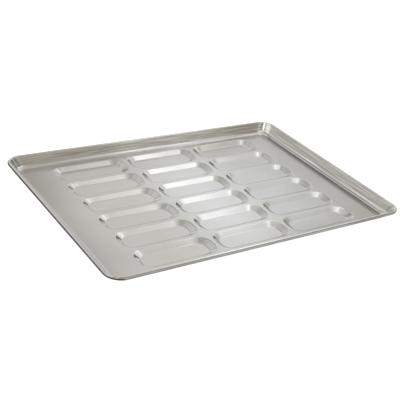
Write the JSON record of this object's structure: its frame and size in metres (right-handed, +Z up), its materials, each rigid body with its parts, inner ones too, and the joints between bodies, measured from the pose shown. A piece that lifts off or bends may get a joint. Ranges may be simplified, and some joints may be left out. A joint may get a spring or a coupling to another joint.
{
  "type": "hot dog bun pan",
  "caption": "Full-size baking sheet pressed with rows of shallow oblong hot dog bun moulds, flared walls and a rim rolled over a wire.",
  "frame": {"origin": "middle of the plane that the mould undersides stand on", "axes": "+X along the pan's long side, +Y to the back, +Z up out of the moulds"},
  "size_m": [0.6602, 0.457, 0.03],
  "materials": {
    "pressed_sheet": "satin aluminised steel with a clear release glaze",
    "wire": "plain drawn steel wire"
  },
  "bodies": {
    "root": {"pan_sheet": "pressed_sheet", "rim_wire": "wire"}
  },
  "joints": []
}
